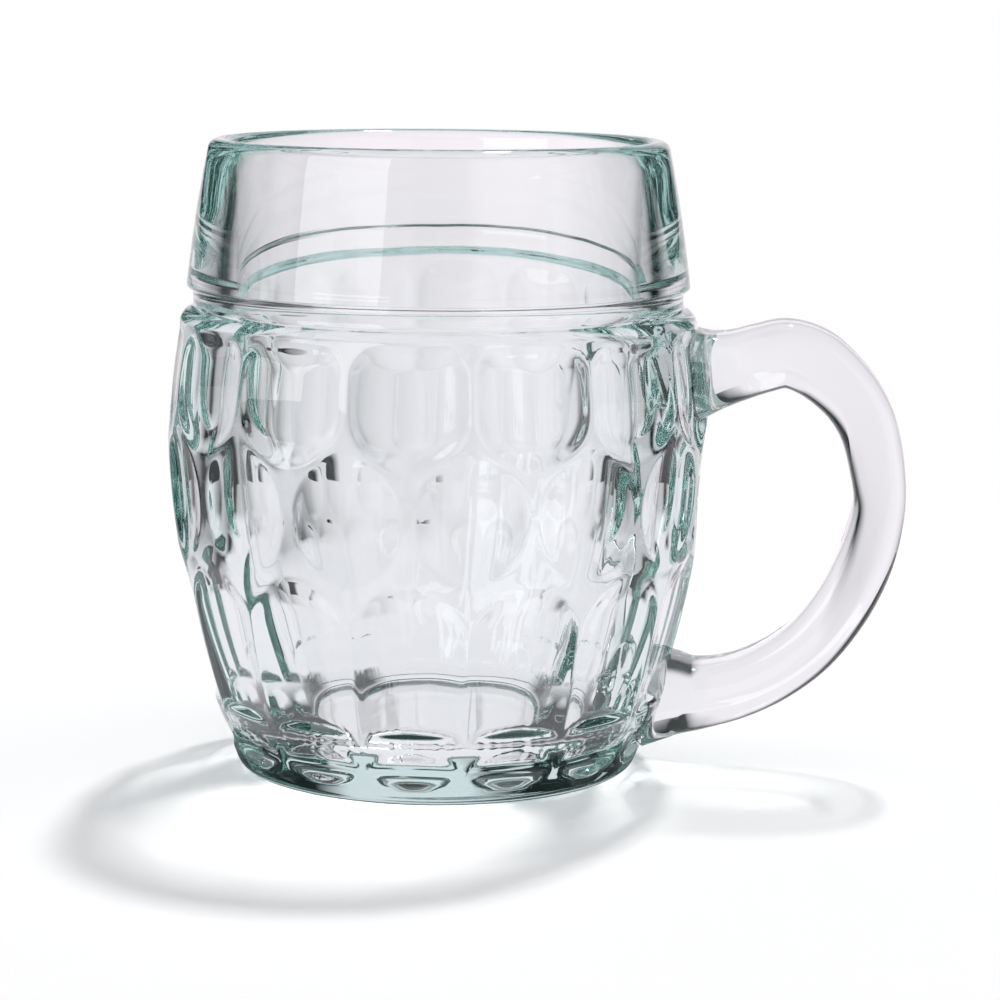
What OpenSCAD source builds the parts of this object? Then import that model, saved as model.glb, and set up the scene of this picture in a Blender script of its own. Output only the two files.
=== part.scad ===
// Dimpled glass beer mug for about half a litre: a thick pressed bowl and a stuck-on handle.
// Millimetres, Z up. The origin is on the table under the middle of the base.
// The handle points along +X.

/* [Collar and rim] */
// Height of the mug
mug_h = 127; // [118:1:136]
// Outer radius of the collar just under the rim
rim_r = 46.2; // [44:0.2:48]
// Thickness of the glass at the rim, which is rounded over
rim_t = 4.6; // [3.6:0.2:5.4]
// Height of the smooth collar
collar_h = 29.6; // [26:0.2:33]
// Outer radius of the collar at its lower edge
collar_r = 50.5; // [50:0.1:52]
// Rounding of the collar's lower edge
collar_edge_r = 1; // [0.5:0.1:1.2]

/* [Neck] */
// Radius of the neck groove under the collar
neck_r = 49.2; // [48.8:0.1:49.6]
// Height of the neck groove
neck_h = 3.6; // [3:0.1:4.2]

/* [Barrel] */
// Largest radius of the barrel
barrel_r = 54.5; // [53:0.1:56]
// Drop from the neck groove to the widest place
belly_drop = 21.8; // [18:0.2:26]
// Radius of the barrel where its curve would reach the table
foot_r = 40; // [38:0.5:43]
// Radius of the barrel under the shoulder
shoulder_r = 52; // [51.6:0.1:52.6]
// Rounding of the shoulder
shoulder_round_r = 3.7; // [3.2:0.1:4.2]
// Width of the bevel round the foot
heel_w = 1.9; // [1:0.1:2.5]
// Height of the bevel round the foot
heel_h = 1.3; // [0.8:0.1:2]

/* [Inside] */
// Thickness of the floor
floor_t = 10; // [8:0.5:13]
// Radius of the straight lower bore
bore_r = 40.6; // [38:0.2:41]
// Height at which the bore starts to draw in
bore_z = 62; // [56:1:68]
// Radius at which the drawn-in wall would reach the floor
floor_r = 27; // [24:0.5:30]
// Rounding between the wall and the floor
floor_round_r = 6; // [4:0.5:8]
// Radius of the hollow under the base
hollow_r = 30; // [26:0.5:33]
// Depth of the hollow under the base
hollow_h = 2; // [1:0.1:3]

/* [Dimples] */
// Dimples round the mug in each row
dimples = 14; // [12:1:16]
// Drop from the neck groove to the middle of the top row
top_drop = 13.8; // [12.8:0.2:14.8]
// Height of a top dimple
top_h = 22.5; // [20:0.5:24]
// Depth of a top dimple
top_d = 2.6; // [2.2:0.1:2.9]
// Drop from the neck groove to the middle of the round row
mid_drop = 35.8; // [34.8:0.2:36.8]
// Height of a round dimple
mid_h = 26; // [23:0.5:28]
// Depth of a round dimple
mid_d = 2.4; // [2:0.1:2.8]
// Height of the middle of the flutes
flute_z = 29.5; // [28.5:0.5:30.5]
// Height of a flute
flute_h = 31; // [28:0.5:33]
// Depth of a flute
flute_d = 2.1; // [1.7:0.1:2.4]
// Height of the middle of the small ovals round the foot
oval_z = 7.6; // [7:0.2:8.4]
// Height of a foot oval
oval_h = 6.2; // [5:0.2:7]
// Depth of a foot oval
oval_d = 1.6; // [1.4:0.1:1.8]

/* [Handle] */
// Distance from the mug's axis to the outside of the handle
handle_reach = 94.4; // [90:0.2:98]
// Drop from the neck groove to the middle of the upper root
upper_root_drop = 12.4; // [10.8:0.2:14.8]
// Height of the middle of the lower root
lower_root_z = 15.2; // [13:0.2:18]
// Thickness of the grip, seen from the side
grip_t = 10.4; // [9:0.2:12]
// Width of the grip, seen from the end
grip_w = 15; // [12:0.5:18]

/* [Hidden] */
$fn = 96;

// how far a cut runs past what it cuts
over = 1;
// shares of the pitch that a top dimple, a flute and a foot oval take up
top_width_share = 0.93;
flute_width_share = 0.78;
oval_width_share = 0.93;
// share of the pitch that a cutter may fill, so that it never meets its neighbour
own_pitch_share = 0.985;
// shares of its depth by which the ball that ends a top dimple or a flute goes deeper
top_arch_share = 0.8;
flute_arch_share = 0.6;

// share of its rounding by which the shoulder starts to turn in below the neck
shoulder_drop_share = 0.78;

collar_z = mug_h - collar_h;
neck_z = collar_z - neck_h;
belly_z = neck_z - belly_drop;
top_z = neck_z - top_drop;
mid_z = neck_z - mid_drop;
upper_root_z = neck_z - upper_root_drop;
lip_r = rim_t / 2;
low_arc_r = (belly_z^2 + (barrel_r - foot_r)^2) / (2 * (barrel_r - foot_r));
shoulder_z = neck_z - shoulder_round_r * shoulder_drop_share;
up_arc_r = ((shoulder_z - belly_z)^2 + (barrel_r - shoulder_r)^2) / (2 * (barrel_r - shoulder_r));
shoulder_lean = asin((shoulder_z - belly_z) / up_arc_r);
bore_arc_r = ((bore_z - floor_t)^2 + (bore_r - floor_r)^2) / (2 * (bore_r - floor_r));
pitch = 360 / dimples;

// flat steps along the long curve of the barrel
barrel_steps = 9;

// radius of the barrel's curve at the height z
function arc_r_at(z) = z < belly_z ? low_arc_r : up_arc_r;
function barrel_at(z) = barrel_r - arc_r_at(z) + sqrt(arc_r_at(z)^2 - (z - belly_z)^2);
// how far the barrel's outward direction leans up from level
function lean_at(z) = asin((z - belly_z) / arc_r_at(z));

// points along an arc round [x, z], from the angle a to the angle b in n steps
function arc(x, z, r, a, b, n) = [for (i = [0 : n]) [x + r * cos(a + (b - a) * i / n), z + r * sin(a + (b - a) * i / n)]];

heel_lean = asin((heel_h - belly_z) / low_arc_r);
bore_floor_lean = asin((floor_t + floor_round_r - bore_z) / (bore_arc_r - floor_round_r));
floor_round_x = bore_r - bore_arc_r + (bore_arc_r - floor_round_r) * cos(bore_floor_lean);
shoulder_x = barrel_r - up_arc_r + (up_arc_r - shoulder_round_r) * cos(shoulder_lean);
shoulder_round_z = belly_z + (up_arc_r - shoulder_round_r) * sin(shoulder_lean);

// where the shoulder's rounding meets the neck
shoulder_end_angle = acos((neck_r - shoulder_x) / shoulder_round_r);

// half outline of the pressed outside, from the foot up to the middle of the rim
outside_outline = concat(
    [[0, 0], [foot_r - heel_w, 0]],
    arc(barrel_r - low_arc_r, belly_z, low_arc_r, heel_lean, 0, barrel_steps),
    arc(barrel_r - up_arc_r, belly_z, up_arc_r, shoulder_lean / 3, shoulder_lean, 2),
    arc(shoulder_x, shoulder_round_z, shoulder_round_r, shoulder_lean * 2, shoulder_end_angle, 4),
    [[neck_r, collar_z], [collar_r - collar_edge_r, collar_z], [collar_r, collar_z + collar_edge_r]],
    arc(rim_r - lip_r, mug_h - lip_r, lip_r, 0, 90, 4),
    [[0, mug_h]]);

// half outline of the space for the beer
bore_outline = concat(
    [[0, floor_t]],
    arc(floor_round_x, floor_t + floor_round_r, floor_round_r, -90, bore_floor_lean, 4),
    arc(bore_r - bore_arc_r, bore_z, bore_arc_r, bore_floor_lean * 5 / 6, 0, 5),
    arc(rim_r - lip_r, mug_h - lip_r, lip_r, 180, 90, 4),
    [[rim_r - lip_r, mug_h + over], [0, mug_h + over]]);

// the pressed outside without its dimples
module plain_outside() {
    rotate_extrude() polygon(outside_outline);
}

// puts a cutter on the barrel at the height z, with its own middle on the wall's outward line
module on_wall(z) {
    translate([barrel_at(z), 0, z]) rotate([0, -lean_at(z), 0]) children();
}

// a body of revolution that is round with ring_r across its axis and with end_r along it
module apple(ring_r, end_r) {
    rotate_extrude() intersection() {
        translate([ring_r - end_r, 0]) circle(end_r);
        translate([0, -end_r]) square([ring_r, 2 * end_r]);
    }
}

// radius that makes a cut of this depth and full length in a flat wall
function chord_r(length, depth) = length^2 / (8 * depth) + depth / 2;
// how much the round wall rises over a cut's share of the pitch, and the width of that cut
function cut_w(z, share) = 2 * barrel_at(z) * sin(pitch / 2 * share);
function wall_rise(z, share) = barrel_at(z) * (1 - cos(pitch / 2 * share));
// radius across a cut that takes up this share of the pitch
function wide_r(z, depth, share) = chord_r(cut_w(z, share), depth - wall_rise(z, share));

// a row of cutters at the places in the list, counted from the handle, each kept inside its own pitch
module row(places) {
    far = 2 * barrel_r;
    side = far * tan(pitch / 2 * own_pitch_share);
    for (i = places) rotate(pitch * i) intersection() {
        children();
        translate([0, 0, -over]) linear_extrude(mug_h) polygon([[0, 0], [far, -side], [far, side]]);
    }
}

// a cut with straight sides along the wall and a ball's round ends
module arched_scoop(z, h, depth, share, arch) {
    end_d = depth * (1 + arch);
    on_wall(z) intersection() {
        translate([wide_r(z, depth, share) - depth, 0, -h]) cylinder(h = 2 * h, r = wide_r(z, depth, share));
        translate([chord_r(h, end_d) - end_d, 0, 0]) sphere(r = chord_r(h, end_d));
    }
}

module round_scoop() {
    on_wall(mid_z) translate([chord_r(mid_h, mid_d) - mid_d, 0, 0]) sphere(r = chord_r(mid_h, mid_d));
}

module oval_scoop() {
    across_r = wide_r(oval_z, oval_d, oval_width_share);
    on_wall(oval_z) translate([across_r - oval_d, 0, 0]) apple(across_r, chord_r(oval_h, oval_d));
}

// takes the dimples out of a body, one row after another; half_places are the places between two round dimples
module scooped(places, half_places) {
    difference() {
        difference() {
            difference() {
                difference() {
                    children();
                    row(places) round_scoop();
                }
                row(half_places) arched_scoop(top_z, top_h, top_d, top_width_share, top_arch_share);
            }
            row(half_places) arched_scoop(flute_z, flute_h, flute_d, flute_width_share, flute_arch_share);
        }
        row(half_places) oval_scoop();
    }
}

module bowl() {
    color("lightcyan", 0.5) scooped([0 : dimples - 1], [1 / 2 : dimples - 1 / 2]) difference() {
        plain_outside();
        rotate_extrude() polygon(bore_outline);
        translate([0, 0, -over]) cylinder(h = hollow_h + over, r = hollow_r);
    }
}

// Places along the middle of the handle from inside the upper root to inside the lower root, as shares:
// out from the barrel to the far side of the grip, up from the lower to the upper root, and of the
// grip's thickness and width.
handle_shares = [
    [-0.25, 0.985, 2.10, 1.55],
    [-0.10, 0.993, 1.84, 1.40],
    [0.04, 1.005, 1.50, 1.22],
    [0.17, 1.021, 1.34, 1.10],
    [0.31, 1.043, 1.30, 1.04],
    [0.45, 1.058, 1.30, 1.01],
    [0.60, 1.034, 1.31, 1],
    [0.74, 0.978, 1.24, 1],
    [0.85, 0.912, 1.17, 1],
    [0.93, 0.831, 1.12, 1],
    [0.98, 0.720, 1.06, 1],
    [1, 0.609, 1, 1],
    [0.96, 0.492, 1.06, 1],
    [0.89, 0.386, 1.10, 1],
    [0.78, 0.276, 1.10, 1],
    [0.62, 0.168, 1.11, 1],
    [0.42, 0.087, 1.15, 1.01],
    [0.20, 0.032, 1.20, 1.05],
    [-0.03, 0.004, 1.32, 1.16],
    [-0.19, 0.002, 1.58, 1.34],
    [-0.36, -0.003, 1.90, 1.50]];
// steps between two places, and sides of the grip
handle_steps = 2;
handle_sides = 20;
// how square the grip's section is, where 2 is an ellipse
grip_squareness_share = 3;

grip_x = handle_reach - grip_t / 2;
handle_places = [for (s = handle_shares) [
    barrel_r + s[0] * (grip_x - barrel_r),
    lower_root_z + s[1] * (upper_root_z - lower_root_z),
    s[2] * grip_t,
    s[3] * grip_w]];

// smooth curve through the places, at the running number t
function spline(a, b, c, d, t) =
    b + t / 2 * (c - a + t * (2 * a - 5 * b + 4 * c - d + t * (3 * b - a - 3 * c + d)));
function place(i) = handle_places[max(0, min(len(handle_places) - 1, i))];
function along(t) = spline(place(floor(t) - 1), place(floor(t)), place(floor(t) + 1), place(floor(t) + 2), t - floor(t));
function rounded(v) = sign(v) * abs(v)^(2 / grip_squareness_share);

// one section of the handle, square to its middle line
function section(t) =
    let (here = along(t), ahead = along(t + 1 / 100), behind = along(t - 1 / 100))
    let (run = [ahead[0] - behind[0], ahead[1] - behind[1]], out = [-run[1], run[0]] / norm(run))
    [for (k = [0 : handle_sides - 1])
        let (a = 360 * k / handle_sides)
        [here[0] + out[0] * rounded(cos(a)) * here[2] / 2,
            rounded(sin(a)) * here[3] / 2,
            here[1] + out[1] * rounded(cos(a)) * here[2] / 2]];

module handle_sweep() {
    rings = (len(handle_places) - 1) * handle_steps;
    points = [for (i = [0 : rings]) each section(i / handle_steps)];
    sides = [for (i = [0 : rings - 1], k = [0 : handle_sides - 1])
        let (m = (k + 1) % handle_sides, a = i * handle_sides, b = a + handle_sides)
        [a + m, b + m, b + k, a + k]];
    first_end = [for (k = [handle_sides - 1 : -1 : 0]) k];
    last_end = [for (k = [0 : handle_sides - 1]) rings * handle_sides + k];
    polyhedron(points, concat([first_end], sides, [last_end]), convexity = 4);
}

module handle() {
    color("lavender", 0.6) difference() {
        handle_sweep();
        scooped([0], [-1 / 2, 1 / 2]) plain_outside();
    }
}

bowl();
handle();
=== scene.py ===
import math

import bpy
import numpy as np
from mathutils import Matrix, Vector


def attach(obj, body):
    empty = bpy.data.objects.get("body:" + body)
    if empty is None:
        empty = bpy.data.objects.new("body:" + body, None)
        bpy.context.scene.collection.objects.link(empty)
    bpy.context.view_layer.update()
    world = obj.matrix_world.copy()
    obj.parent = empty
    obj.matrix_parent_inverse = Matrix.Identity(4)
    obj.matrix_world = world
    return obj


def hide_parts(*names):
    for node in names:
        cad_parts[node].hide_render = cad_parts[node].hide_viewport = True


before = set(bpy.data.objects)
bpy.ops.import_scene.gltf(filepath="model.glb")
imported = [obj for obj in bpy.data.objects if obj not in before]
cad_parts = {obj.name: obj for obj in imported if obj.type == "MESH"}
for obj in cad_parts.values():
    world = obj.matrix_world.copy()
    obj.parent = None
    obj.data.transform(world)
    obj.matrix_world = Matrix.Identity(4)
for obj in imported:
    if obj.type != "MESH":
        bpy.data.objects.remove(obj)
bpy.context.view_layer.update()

# ---------------------------------------------------------------------------
# Camera. It stands where the picture was taken from: a long lens at about
# arm's length, a little above the rim, square to the handle but for 6 degrees.
# ---------------------------------------------------------------------------
eye_distance, eye_height = 0.64114, 0.15715
eye_turn, eye_pan = math.radians(6.0), math.radians(1.1325)
eye_tilt, eye_roll = math.radians(9.142), math.radians(0.4977)
lens_mm, sensor_mm = 114.98, 36
nearest_seen, farthest_seen = 0.01, 60

heading = eye_pan - eye_turn
level_ahead = Vector((math.sin(heading), math.cos(heading), 0))
forward = Vector((
    level_ahead.x * math.cos(eye_tilt), level_ahead.y * math.cos(eye_tilt), -math.sin(eye_tilt)))
level_right = Vector((math.cos(heading), -math.sin(heading), 0))
level_up = level_right.cross(forward)
right = level_right * math.cos(eye_roll) + level_up * math.sin(eye_roll)
up = level_up * math.cos(eye_roll) - level_right * math.sin(eye_roll)

camera_data = bpy.data.cameras.new("camera")
camera_data.sensor_width, camera_data.lens = sensor_mm, lens_mm
camera_data.clip_start, camera_data.clip_end = nearest_seen, farthest_seen
camera = bpy.data.objects.new("camera", camera_data)
bpy.context.scene.collection.objects.link(camera)
stand = (eye_distance * math.sin(eye_turn), -eye_distance * math.cos(eye_turn), eye_height)
eye_axes = Matrix((right, up, -forward)).transposed().to_4x4()
camera.matrix_world = Matrix.Translation(stand) @ eye_axes
bpy.context.scene.camera = camera

# ---------------------------------------------------------------------------
# Bowl. The pressed body of the mug in one piece of clear soda glass: smooth
# collar, neck groove, and a barrel with four rows of dimples. It was pressed
# in a mould, then fire-polished, so every edge of it is a little rounded.
# ---------------------------------------------------------------------------
MM = 0.001
around = 448
dimples = 14
pitch = 2 * math.pi / dimples

belly_r, belly_z = 54.5, 72.0
low_arc_r, up_arc_r = 186.0, 72.8
heel_z, shoulder_z = 2.0, 90.91
mould_loss = 0.04

# depths and heights in mm, widths as shares of half a pitch
round_depth, round_width, round_z, round_half_h = 1.7, 0.88, 58, 12.9
top_depth, top_width = 1.65, 0.96
top_end_depth, top_end_width, top_z = 2.8, 0.97, 79.6
top_rise, top_drop, top_corner_share, top_corner_power = 10.9, 12.4, 0.8, 5
flute_depth, flute_width = 1.6, 0.97
flute_end_depth, flute_end_width, flute_z, flute_rise = 2.8, 1.05, 30, 15.5
flute_foot_z, flute_foot_slope = 14.5, 0.9
oval_depth, oval_width, oval_z, oval_half_h = 1.6, 0.93, 7.4, 3.5
top_blend, flute_blend, foot_blend, ridge_blend = 0.35, 0.25, 0.2, 0.16


def barrel(z):
    """Radius of the barrel without its dimples: a long flat arc below the belly and a shorter one above it."""
    arc_r = np.where(z < belly_z, low_arc_r, up_arc_r)
    return belly_r - arc_r + np.sqrt(arc_r**2 - (z - belly_z) ** 2)


def soft_min(a, b, blend):
    """The smaller of two depths, rounded over where they are within blend of each other."""
    share = np.clip(0.5 + 0.5 * (b - a) / blend, 0, 1)
    return b * (1 - share) + a * share - blend * share * (1 - share)


def soft_max(a, b, blend):
    """The larger of two depths, rounded over in the same way."""
    return -soft_min(-a, -b, blend)


def from_nearest(angle, offset):
    """Angle from the nearest of the places that stand a pitch apart, starting at offset."""
    return (angle - offset + pitch / 2) % pitch - pitch / 2


def dimple_depth(angle, z):
    """How far the dimples go into the barrel at an angle and a height, in mm.

    Each dimple is its depth times one less the squares of the shares of its half width and its half height.
    The tall top dimples and the flutes are the lesser of a channel and a rounded end, and the upper corners of
    the top ones are squarer, with a fifth power. The rows are joined by soft maxima, which leaves the narrow
    rounded ridges between them."""
    at_mid = np.abs(from_nearest(angle, 0)) / (pitch / 2)
    at_half = np.abs(from_nearest(angle, pitch / 2)) / (pitch / 2)
    middle = round_depth * (1 - (at_mid / round_width) ** 2 - ((z - round_z) / round_half_h) ** 2)
    top_end = top_end_depth * np.where(
        z > top_z,
        1 - top_corner_share * (at_half / top_end_width) ** top_corner_power - ((z - top_z) / top_rise) ** 2,
        1 - (at_half / top_end_width) ** 2 - ((z - top_z) / top_drop) ** 2)
    top = soft_min(top_depth * (1 - (at_half / top_width) ** 2), top_end, top_blend)
    past_flute = np.where(z > flute_z, (z - flute_z) / flute_rise, 0)
    flute_end = flute_end_depth * (1 - (at_half / flute_end_width) ** 2 - past_flute**2)
    flute = soft_min(flute_depth * (1 - (at_half / flute_width) ** 2), flute_end, flute_blend)
    flute = soft_min(flute, flute_foot_slope * (z - flute_foot_z), foot_blend)
    oval = oval_depth * (1 - (at_half / oval_width) ** 2 - ((z - oval_z) / oval_half_h) ** 2)
    depth = np.zeros_like(at_mid)
    for row in (middle, top, flute, oval):
        depth = soft_max(depth, row, ridge_blend)
    return depth


def waves(angle, z, seed, height):
    """Slow unevenness of pressed glass: sines round the wall that lean as they go up, by seeded amounts."""
    rng = np.random.default_rng(seed)
    total = np.zeros(np.broadcast(angle, z).shape)
    for turns in (1, 2, 3, 4, 5, 7):
        lean, start = rng.uniform(-0.16, 0.16), rng.uniform(0, 2 * math.pi)
        total = total + rng.uniform(0.4, 1) / math.sqrt(turns) * np.sin(turns * angle + lean * z + start)
    return height * total / 2


outer_seed, inner_seed = 3, 8
barrel_waves, collar_waves, bore_waves = 0.07, 0.05, 0.12


def wall(angle, z):
    """Outer radius of the barrel: its curve less its dimples, with its unevenness."""
    return barrel(z) - dimple_depth(angle, z) + waves(angle, z, outer_seed, barrel_waves) - mould_loss


def arc(x, z, r, start, end, steps):
    """Points along an arc of an outline, from one angle in degrees to another, ends included."""
    turn = np.radians(np.linspace(start, end, steps))
    return np.stack([x + r * np.cos(turn), z + r * np.sin(turn)], 1)


def line(a, b, steps):
    """Points along a straight stretch of an outline, without its first one."""
    return np.array(a) + (np.array(b) - np.array(a)) * np.linspace(0, 1, steps + 1)[1:, None]


def bend(a, corner, b, steps):
    """Points along a curve from a to b that is drawn towards the corner, without its first one."""
    t = np.linspace(0, 1, steps + 1)[1:, None]
    return (1 - t) ** 2 * np.array(a) + 2 * t * (1 - t) * np.array(corner) + t**2 * np.array(b)


def in_object(name, points, faces):
    """A mesh object of these points, in mm, and faces, smooth all over."""
    mesh = bpy.data.meshes.new(name)
    mesh.from_pydata((points * MM).tolist(), [], faces)
    mesh.polygons.foreach_set("use_smooth", np.ones(len(mesh.polygons), bool))
    made = bpy.data.objects.new(name, mesh)
    bpy.context.scene.collection.objects.link(made)
    return made


def closed_tube(rings, sides):
    """Faces of a grid of rings with a middle point before the first and after the last, pointing outwards."""
    ring = np.arange(rings - 1)[:, None] * sides + 1
    here = np.arange(sides)[None, :]
    there = (here + 1) % sides
    quads = np.stack([ring + here, ring + there, ring + sides + there, ring + sides + here], 2).reshape(-1, 4)
    here, there = here[0], there[0]
    last = rings * sides + 1
    first_fan = np.stack([np.zeros(sides, int), 1 + there, 1 + here], 1)
    last_fan = np.stack([np.full(sides, last), last - sides + here, last - sides + there], 1)
    return first_fan.tolist() + quads.tolist() + last_fan.tolist()


# the outline's places, as a radius and a height
hollow_h, hollow_flat_r, hollow_rim_w = 2.0, 27, 4.5
foot_r, heel_w = 38.0, 0.8
shoulder_round = (48.43, 89.95, 3.7)
shoulder_from, shoulder_to = 15.06, 70
neck_top, neck_line, neck_corner, neck_low = (49.2, 97.4), (49.2, 95.0), (49.2, 93.61), 97.4
collar_r, collar_edge_z, collar_edge_r, collar_lean, collar_swell = 49.75, 98.15, 0.75, 9.2, 0.3
lip_x, lip_z, lip_r = 43.9, 124.7, 2.3
bore_top_r, bore_r, bore_z, bore_arc_r = 41.6, 40.6, 62.0, 106.2
floor_z, floor_flat_r, floor_round_r, floor_round_from = 10.0, 23.43, 6, -27.3
floor_round_top_z, floor_middle_r = 13.25, 2.0

hollow = line((0, hollow_h), (hollow_flat_r, hollow_h), 8)
ease = np.linspace(0, 1, 9)[1:]
hollow_rim = np.stack([
    hollow_flat_r + hollow_rim_w * ease, hollow_h / 2 * (1 + np.cos(math.pi * ease))], 1)
heel_r = float(barrel(np.array(heel_z)))
foot = line((hollow_flat_r + hollow_rim_w, 0), (foot_r, 0), 3)
heel = bend((foot_r, 0), (heel_r - heel_w, 0), (heel_r, heel_z), 6)
side_z = np.linspace(heel_z, shoulder_z, 97)[1:]
side = np.stack([barrel(side_z), side_z], 1)
shoulder = arc(*shoulder_round, shoulder_from, shoulder_to, 9)[1:]
neck = np.concatenate([
    bend(shoulder[-1], neck_corner, neck_line, 4),
    bend(neck_line, neck_top, (collar_r, neck_low), 5)])
collar_edge = arc(collar_r, collar_edge_z, collar_edge_r, -90, collar_lean, 8)[1:]
lip = arc(lip_x, lip_z, lip_r, collar_lean, 180, 12)
collar = line(collar_edge[-1], lip[0], 10)[:-1]
collar[:, 0] += collar_swell * np.sin(np.linspace(0, math.pi, 11)[1:-1])
bore = line((bore_top_r, lip_z), (bore_r, bore_z), 18)
bore_low_z = np.linspace(bore_z, floor_round_top_z, 17)[1:]
bore_low_r = bore_r - bore_arc_r + np.sqrt(bore_arc_r**2 - (bore_low_z - bore_z) ** 2)
bore_low = np.stack([bore_low_r, bore_low_z], 1)
floor_round = arc(floor_flat_r, floor_z + floor_round_r, floor_round_r, floor_round_from, -90, 9)[1:]
floor_flat = line((floor_flat_r, floor_z), (floor_middle_r, floor_z), 7)
outline = np.concatenate([
    hollow, hollow_rim, foot, heel, side, shoulder, neck, collar_edge,
    collar, lip, bore, bore_low, floor_round, floor_flat])

turn = np.arange(around) * 2 * math.pi / around
ring_r, ring_z = outline[:, :1], outline[:, 1:]
side_from = len(hollow) + len(hollow_rim) + len(foot) + len(heel)
collar_from = side_from + len(side) + len(shoulder) + len(neck)
inside_from = collar_from + len(collar_edge) + len(collar) + len(lip)
side_part = slice(side_from, side_from + len(side))
collar_part = slice(collar_from, inside_from)
radius = ring_r + 0 * turn[None, :]
radius[side_part] = wall(turn[None, :], ring_z[side_part])

# the unevenness fades out towards the floor and the lip
fade_low_z, fade_low_h, fade_high_z, fade_high_h = 14, 20, 123, 12
uneven = np.clip((ring_z - fade_low_z) / fade_low_h, 0, 1) * np.clip((fade_high_z - ring_z) / fade_high_h, 0, 1)
radius[inside_from:] += (uneven * waves(turn[None, :], ring_z, inner_seed, bore_waves))[inside_from:]
radius[collar_part] += (uneven * waves(turn[None, :], ring_z, outer_seed, collar_waves))[collar_part]

# fine ripples where the wall turns into the floor, which sparkle
ripple_z, ripple_half_h, ripple_height, ripple_lean = 12.0, 2.5, 0.06, 1.7
near_floor = np.clip(1 - np.abs(ring_z - ripple_z) / ripple_half_h, 0, 1)
near_floor = near_floor * (np.arange(len(outline))[:, None] >= inside_from)
radius += near_floor * ripple_height * sum(
    np.sin(turns * turn[None, :] + ripple_lean * turns + ring_z) for turns in (17, 31, 47, 71, 93))
height = np.broadcast_to(ring_z, radius.shape)
grid = np.stack([radius * np.cos(turn), radius * np.sin(turn), height], 2).reshape(-1, 3)
points = np.concatenate([[[0, 0, hollow_h]], grid, [[0, 0, floor_z]]])
bowl = in_object("pressed_bowl", points, closed_tube(len(outline), around))


def map_range(tree, value, low, high, to_low=0, to_high=1):
    """A value between low and high, taken to the same share of the way from to_low to to_high."""
    made = tree.nodes.new("ShaderNodeMapRange")
    made.inputs["From Min"].default_value, made.inputs["From Max"].default_value = low, high
    made.inputs["To Min"].default_value, made.inputs["To Max"].default_value = to_low, to_high
    tree.links.new(value, made.inputs["Value"])
    return made.outputs["Result"]


def noise(tree, where, scale, detail):
    """Noise over the object's own coordinates."""
    made = tree.nodes.new("ShaderNodeTexNoise")
    made.inputs["Scale"].default_value, made.inputs["Detail"].default_value = scale, detail
    tree.links.new(where, made.inputs["Vector"])
    return made.outputs["Fac"]


def glass():
    """Clear soda glass with a faint green in its depth, and the slight haze and ripple of pressed ware."""
    made = bpy.data.materials.new("clear_glass")
    made.use_nodes = True
    tree = made.node_tree
    shader = tree.nodes["Principled BSDF"]
    shader.inputs["Base Color"].default_value = (0.985, 0.99, 0.99, 1)
    shader.inputs["Transmission Weight"].default_value = 1
    shader.inputs["IOR"].default_value = 1.52
    where = tree.nodes.new("ShaderNodeTexCoord").outputs["Object"]
    haze = map_range(tree, noise(tree, where, 55, 4), 0.35, 0.7, 0.003, 0.014)
    tree.links.new(haze, shader.inputs["Roughness"])
    bump = tree.nodes.new("ShaderNodeBump")
    bump.inputs["Strength"].default_value = 0.1
    bump.inputs["Distance"].default_value = 0.00025
    tree.links.new(noise(tree, where, 90, 1), bump.inputs["Height"])
    tree.links.new(bump.outputs["Normal"], shader.inputs["Normal"])
    depth = tree.nodes.new("ShaderNodeVolumeAbsorption")
    depth.inputs["Color"].default_value = (0.0, 0.62, 0.53, 1)
    depth.inputs["Density"].default_value = 4.8
    tree.links.new(depth.outputs["Volume"], tree.nodes["Material Output"].inputs["Volume"])
    return made


clear_glass = glass()
bowl.data.materials.append(clear_glass)
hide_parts("bowl")
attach(bowl, "root")

# ---------------------------------------------------------------------------
# Handle. A solid bar of the same glass, drawn hot from the upper root to the
# lower one and stuck to the barrel, where it spreads out against the wall.
# ---------------------------------------------------------------------------
handle_reach, upper_root_z, lower_root_z = 94.35, 81.4, 15.2
grip_t, grip_w = 10.4, 15.0
grip_squareness = 4.0
handle_sides, handle_rings, cap_rings = 72, 260, 8
sink = 0.15

# out from the barrel, up between the roots, and the grip's thickness and width, as shares
handle_shares = np.array([
    [-0.25, 0.985, 2.10, 1.55], [-0.10, 0.993, 1.84, 1.40], [0.04, 1.005, 1.50, 1.22],
    [0.17, 1.021, 1.34, 1.10], [0.31, 1.043, 1.30, 1.04], [0.45, 1.058, 1.30, 1.01],
    [0.60, 1.034, 1.31, 1], [0.74, 0.978, 1.24, 1], [0.85, 0.912, 1.17, 1],
    [0.93, 0.831, 1.12, 1], [0.98, 0.720, 1.06, 1], [1, 0.609, 1, 1],
    [0.96, 0.492, 1.06, 1], [0.89, 0.386, 1.10, 1], [0.78, 0.276, 1.10, 1],
    [0.62, 0.168, 1.11, 1], [0.42, 0.087, 1.15, 1.01], [0.20, 0.032, 1.20, 1.05],
    [-0.03, 0.004, 1.32, 1.16], [-0.19, 0.002, 1.58, 1.34], [-0.36, -0.003, 1.90, 1.50]])
grip_x = handle_reach - grip_t / 2
handle_places = np.stack([
    belly_r + handle_shares[:, 0] * (grip_x - belly_r),
    lower_root_z + handle_shares[:, 1] * (upper_root_z - lower_root_z),
    handle_shares[:, 2] * grip_t,
    handle_shares[:, 3] * grip_w], 1)


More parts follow.
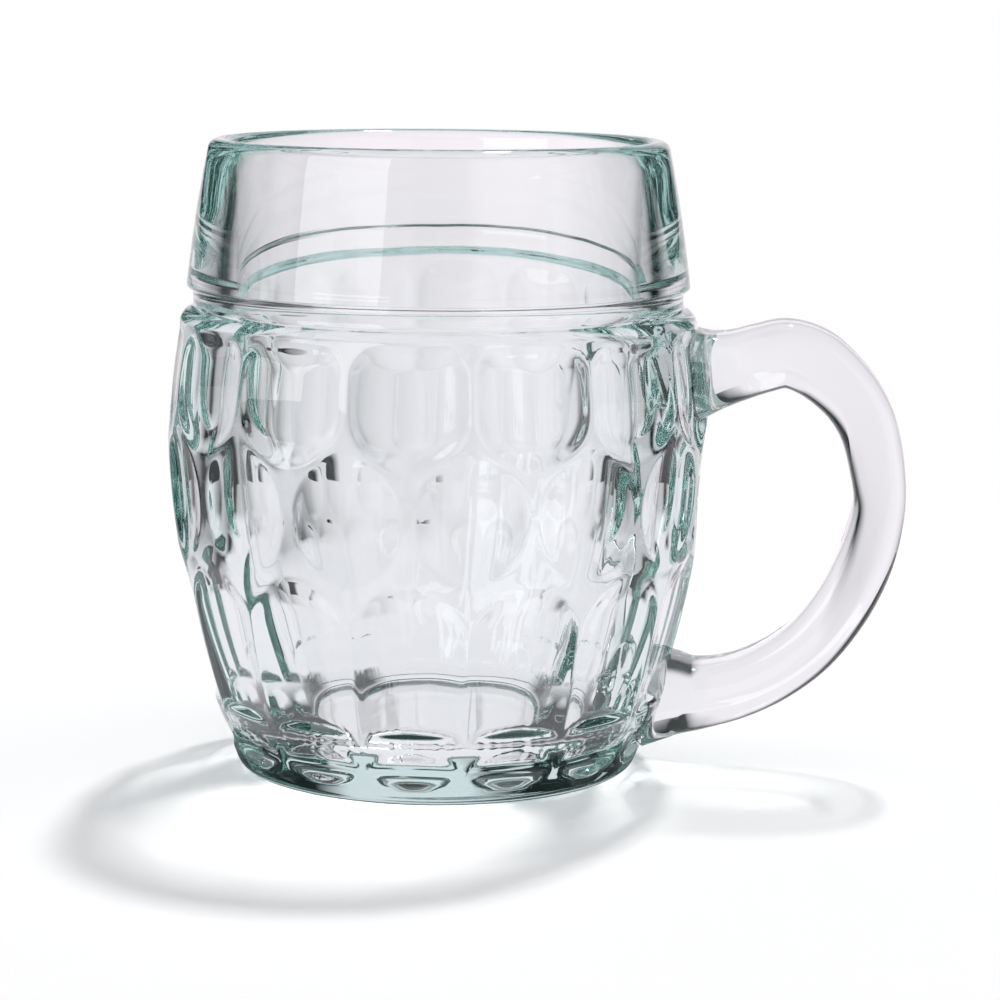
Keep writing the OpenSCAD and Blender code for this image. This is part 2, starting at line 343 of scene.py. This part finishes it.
def along(t):
    """The handle's middle line, thickness and width at a running number: a cubic curve through the places."""
    step = np.floor(t).astype(int)
    part = (t - step)[..., None]
    a, b, c, d = (handle_places[np.clip(step + k, 0, len(handle_places) - 1)] for k in (-1, 0, 1, 2))
    return b + part / 2 * (c - a + part * (2 * a - 5 * b + 4 * c - d + part * (3 * b - a - 3 * c + d)))


def squared(share):
    """A sine or cosine drawn out to a rounded square: its size to the power of 2 over the squareness."""
    return np.sign(share) * np.abs(share) ** (2 / grip_squareness)


def grip_surface(t, a):
    """Points of the handle's skin: a rounded square, square to the middle line, at the angle a round it."""
    a_little = 0.01
    here, run = along(t), along(t + a_little) - along(t - a_little)
    length = np.hypot(run[..., 0], run[..., 1])
    out = np.stack([-run[..., 1], run[..., 0]], -1) / length[..., None]
    reach = squared(np.cos(a)) * here[..., 2] / 2
    wide = squared(np.sin(a)) * here[..., 3] / 2
    return np.stack([here[..., 0] + out[..., 0] * reach, wide, here[..., 1] + out[..., 1] * reach], -1)


def above_wall(p):
    """How far points stand out of the barrel's wall, in mm, counted from where the handle sinks into it."""
    at_wall = wall(np.arctan2(p[..., 1], p[..., 0]), np.clip(p[..., 2], 0, shoulder_z))
    return np.hypot(p[..., 0], p[..., 1]) - at_wall + sink


def leaves_wall(a, start, end):
    """Running numbers at which each side line of the handle comes out of the wall, by halving the stretch."""
    low, high = np.full(a.shape, start), np.full(a.shape, end)
    for _ in range(40):
        middle = (low + high) / 2
        inside = above_wall(grip_surface(middle, a)) < 0
        low, high = np.where(inside, middle, low), np.where(inside, high, middle)
    return (low + high) / 2


def root_cap(loop, steps):
    """Rings that close a root inside the wall: the loop drawn in towards its middle along the barrel."""
    angle, z = np.arctan2(loop[:, 1], loop[:, 0]), loop[:, 2]
    share = np.linspace(1, 0, steps + 1)[1:, None]
    angle = angle.mean() + share * (angle - angle.mean())
    z = z.mean() + share * (z - z.mean())
    r = wall(angle, np.clip(z, 0, shoulder_z)) - sink
    return np.stack([r * np.cos(angle), r * np.sin(angle), z], -1)


side_angle = -np.arange(handle_sides) * 2 * math.pi / handle_sides
grip_start = leaves_wall(side_angle, 0.0, 4.0)
grip_end = leaves_wall(side_angle, 20.0, 16.0)
share = np.linspace(0, 1, handle_rings)[:, None]
skin = grip_surface(
    grip_start + share * (grip_end - grip_start), np.broadcast_to(side_angle, (handle_rings, handle_sides)))
upper_cap, lower_cap = root_cap(skin[0], cap_rings), root_cap(skin[-1], cap_rings)
rings = np.concatenate([upper_cap[-2::-1], skin, lower_cap[:-1]])
points = np.concatenate([upper_cap[-1, :1], rings.reshape(-1, 3), lower_cap[-1, :1]])
handle = in_object("drawn_handle", points, closed_tube(len(rings), handle_sides))
handle.data.materials.append(clear_glass)
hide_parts("handle")
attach(handle, "root")

# ---------------------------------------------------------------------------
# Table top and room. A wide white table that keeps the mug's shadow, and a
# white room with dark flags between its panels, which only the glass shows.
# To the glass the table glows with those panels as painted light, and with a
# painted shade in a band beside the foot, in place of its own shading.
# ---------------------------------------------------------------------------
table_half_w = 8

# brightness by the compass angle in degrees from +X towards +Y: of the table away from the mug, of the room
# above it, and of the table right beside the foot, where the band says how much of it shows by the distance;
# the dark stretches of that band are painted shade beside the foot, which only the glass shows
on_table = [
    (0, 0.62), (36, 0.62), (41, 0.5), (46.5, 0), (52, 0), (60, 0.45), (66, 0.8), (76, 0.96), (90, 1.04),
    (102, 0.96), (118, 0.8), (130, 0.48), (138, 0.3), (144, 0), (150, 0), (157, 0.5), (170, 0.62), (197, 0.7),
    (205, 0.05), (288, 0.05), (296, 0.75), (336, 0.7), (360, 0.62)]
round_room = [
    (0, 0.05), (28, 0.05), (36, 0), (69, 0), (78, 0.97), (103, 0.97), (111, 0), (156, 0), (166, 0.75),
    (197, 0.75), (205, 0.05), (288, 0.05), (296, 0.75), (336, 0.75), (344, 0.05), (360, 0.05)]
shade_beside_foot = [(0, 0.1), (30, 0.1), (48, 0.95), (128, 0.95), (146, 0.1), (360, 0.1)]
painted_shade_band, band_end = [(0, 0), (0.030, 0), (0.035, 1), (0.048, 1), (0.056, 0)], 0.1
near_brightness, near_from, near_to = 0.97, 0.16, 0.24
backdrop_from, backdrop_to = 0.2, 0.4
ceiling_from, ceiling_to = 0.38, 0.5
ceiling_colour, room_light, paper_white = (0.05, 0.06, 0.06, 1), (0.6, 0.6, 0.61, 1), (0.97, 0.97, 0.97, 1)
white = (1, 1, 1, 1)


def panel_colour(brightness):
    """The panels' faint lilac at a brightness, over the last green of the unlit room."""
    return (brightness + 0.004, 0.92 * brightness + 0.012, 0.975 * brightness + 0.011, 1)


def ramp(tree, share, stops):
    """Colour at a share from 0 to 1, straight between stops of a place and a colour."""
    made = tree.nodes.new("ShaderNodeValToRGB")
    tree.links.new(share, made.inputs["Fac"])
    elements = made.color_ramp.elements
    while len(elements) < len(stops):
        elements.new(0.5)
    for element, (place, colour) in zip(elements, stops):
        element.position = place
        element.color = colour
    return made.outputs["Color"]


def math_node(tree, kind, first, second=None):
    """A Math node of this kind on one or two sockets or numbers."""
    made = tree.nodes.new("ShaderNodeMath")
    made.operation = kind
    for socket, value in zip(made.inputs, (first, second)):
        if isinstance(value, (int, float)):
            socket.default_value = value
        elif value is not None:
            tree.links.new(value, socket)
    return made.outputs[0]


def panels(tree, vector, panel_stops):
    """Colour by the compass angle of a direction or a place, and how high that is."""
    parts = tree.nodes.new("ShaderNodeSeparateXYZ")
    tree.links.new(vector, parts.inputs[0])
    angle = math_node(tree, "ARCTAN2", parts.outputs["Y"], parts.outputs["X"])
    share = math_node(tree, "FRACT", math_node(tree, "DIVIDE", angle, 2 * math.pi))
    stops = [(degrees / 360, panel_colour(brightness)) for degrees, brightness in panel_stops]
    return ramp(tree, share, stops), parts.outputs["Z"]


def mixed(tree, share, first, second):
    """A colour that goes from the first to the second as the share goes from 0 to 1."""
    made = tree.nodes.new("ShaderNodeMix")
    made.data_type = "RGBA"
    for socket, value in ((made.inputs["Factor"], share), (made.inputs[6], first), (made.inputs[7], second)):
        if isinstance(value, tuple):
            socket.default_value = value
        else:
            tree.links.new(value, socket)
    return made.outputs[2]


def mixed_shader(tree, share, first, second):
    """A shader that goes from the first to the second as the share goes from 0 to 1."""
    made = tree.nodes.new("ShaderNodeMixShader")
    for socket, value in zip(made.inputs, (share, first, second)):
        tree.links.new(value, socket)
    return made.outputs[0]


def shown_by_glass(tree):
    """1 for the rays that the glass bends or mirrors, and 1 for the camera's own rays."""
    path = tree.nodes.new("ShaderNodeLightPath")
    bent = math_node(tree, "MAXIMUM", path.outputs["Is Transmission Ray"], path.outputs["Is Glossy Ray"])
    return bent, path.outputs["Is Camera Ray"]


def bare_material(name):
    """A material with an empty node tree but for its output, and that output's surface."""
    made = bpy.data.materials.new(name)
    made.use_nodes = True
    made.node_tree.nodes.clear()
    return made, made.node_tree, made.node_tree.nodes.new("ShaderNodeOutputMaterial").inputs["Surface"]


corners = [(-1, -1), (1, -1), (1, 1), (-1, 1)]
table_mesh = bpy.data.meshes.new("table_top")
table_mesh.from_pydata([(x * table_half_w, y * table_half_w, 0) for x, y in corners], [], [(0, 1, 2, 3)])
table_top = bpy.data.objects.new("table_top", table_mesh)
bpy.context.scene.collection.objects.link(table_top)
table_white, tree, surface = bare_material("table_white")
paper = tree.nodes.new("ShaderNodeBsdfDiffuse")
paper.inputs["Color"].default_value = paper_white
where = tree.nodes.new("ShaderNodeTexCoord").outputs["Object"]
length = tree.nodes.new("ShaderNodeVectorMath")
length.operation = "LENGTH"
tree.links.new(where, length.inputs[0])
distance = length.outputs["Value"]
far_colour, _ = panels(tree, where, on_table)
# painted shade: the table right beside the foot is darker in front and at the sides, as the glass shows it
painted_foot_shade, _ = panels(tree, where, shade_beside_foot)
band = [(metres / band_end, (share, share, share, 1)) for metres, share in painted_shade_band]
in_shade_band = ramp(tree, math_node(tree, "MULTIPLY", distance, 1 / band_end), band)
near_colour = mixed(tree, in_shade_band, panel_colour(near_brightness), painted_foot_shade)
# painted light: what the glass shows of the table is a glow of the room's panels, with the painted shade beside
# the foot
painted_for_glass = tree.nodes.new("ShaderNodeEmission")
far_share = map_range(tree, distance, near_from, near_to)
tree.links.new(mixed(tree, far_share, near_colour, far_colour), painted_for_glass.inputs["Color"])
backdrop = tree.nodes.new("ShaderNodeEmission")
backdrop.inputs["Color"].default_value = white
bent, by_camera = shown_by_glass(tree)
near_table = mixed_shader(tree, bent, paper.outputs[0], painted_for_glass.outputs[0])
away = math_node(tree, "MULTIPLY", by_camera, map_range(tree, distance, backdrop_from, backdrop_to))
tree.links.new(mixed_shader(tree, away, near_table, backdrop.outputs[0]), surface)
table_top.data.materials.append(table_white)

room = bpy.data.worlds.new("room")
bpy.context.scene.world = room
room.use_nodes = True
tree = room.node_tree
where = tree.nodes.new("ShaderNodeTexCoord").outputs["Generated"]
colour, lift = panels(tree, where, round_room)
colour = mixed(tree, map_range(tree, lift, ceiling_from, ceiling_to), colour, ceiling_colour)
bent, by_camera = shown_by_glass(tree)
colour = mixed(tree, bent, room_light, colour)
colour = mixed(tree, by_camera, colour, white)
background = tree.nodes["Background"]
tree.links.new(colour, background.inputs["Color"])
background.inputs["Strength"].default_value = 1

# ---------------------------------------------------------------------------
# Lamps. A small key light high behind the mug, which throws its shadow
# forwards, and a softbox to the left of the camera, which shows in the glass.
# ---------------------------------------------------------------------------


def lamp(name, place, aim, wide, tall, watts):
    """A rectangular lamp at a place, turned towards a point."""
    data = bpy.data.lights.new(name, "AREA")
    data.shape = "RECTANGLE"
    data.size, data.size_y = wide, tall
    data.energy = watts
    made = bpy.data.objects.new(name, data)
    bpy.context.scene.collection.objects.link(made)
    turned = (Vector(aim) - Vector(place)).to_track_quat("-Z", "Y").to_matrix().to_4x4()
    made.matrix_world = Matrix.Translation(place) @ turned
    return made


lamp("key", (0.297, 1.307, 2.6), (0, 0, 0.05), 0.19, 0.19, 44.5)
softbox = lamp("softbox", (-0.5, -0.6, 0.33), (0, 0, 0.08), 0.6, 0.45, 2.2)
softbox.visible_diffuse = False

# ---------------------------------------------------------------------------
# Shadow. Copies of the two pieces that only the lamps' rays meet. They let
# the light through, and hold it back where it grazes the wall, at the thick
# lip and in the handle, so that the shadow is a ring with a bright middle.
# ---------------------------------------------------------------------------
grazing_from, grazing_to = 0.54, 0.98
lip_from, lip_to = 0.096, 0.124
handle_from, handle_to, handle_loss = 0.055, 0.06, 0.22
clear_light, held_light = (0.995, 0.998, 1, 1), (0.12, 0.14, 0.16, 1)

shade, tree, surface = bare_material("light_through_glass")
grazing = tree.nodes.new("ShaderNodeLayerWeight")
grazing.inputs["Blend"].default_value = 0.5
parts = tree.nodes.new("ShaderNodeSeparateXYZ")
tree.links.new(tree.nodes.new("ShaderNodeTexCoord").outputs["Object"], parts.inputs[0])
loss = map_range(tree, grazing.outputs["Facing"], grazing_from, grazing_to)
loss = math_node(tree, "MAXIMUM", loss, map_range(tree, parts.outputs["Z"], lip_from, lip_to))
in_handle = map_range(tree, parts.outputs["X"], handle_from, handle_to, 0, handle_loss)
loss = math_node(tree, "MAXIMUM", loss, in_handle)
through = tree.nodes.new("ShaderNodeBsdfTransparent")
tree.links.new(mixed(tree, loss, clear_light, held_light), through.inputs["Color"])
tree.links.new(through.outputs[0], surface)
for piece in (bowl, handle):
    caster = bpy.data.objects.new(piece.name + "_shadow", piece.data)
    bpy.context.scene.collection.objects.link(caster)
    caster.material_slots[0].link = "OBJECT"
    caster.material_slots[0].material = shade
    caster.visible_camera = caster.visible_diffuse = caster.visible_glossy = caster.visible_transmission = False
    piece.visible_shadow = False

# plain colours, and enough bounces for light to get through the thick glass
scene = bpy.context.scene
scene.view_settings.view_transform = "Standard"
scene.cycles.max_bounces = scene.cycles.transmission_bounces = 32
scene.cycles.glossy_bounces = 16
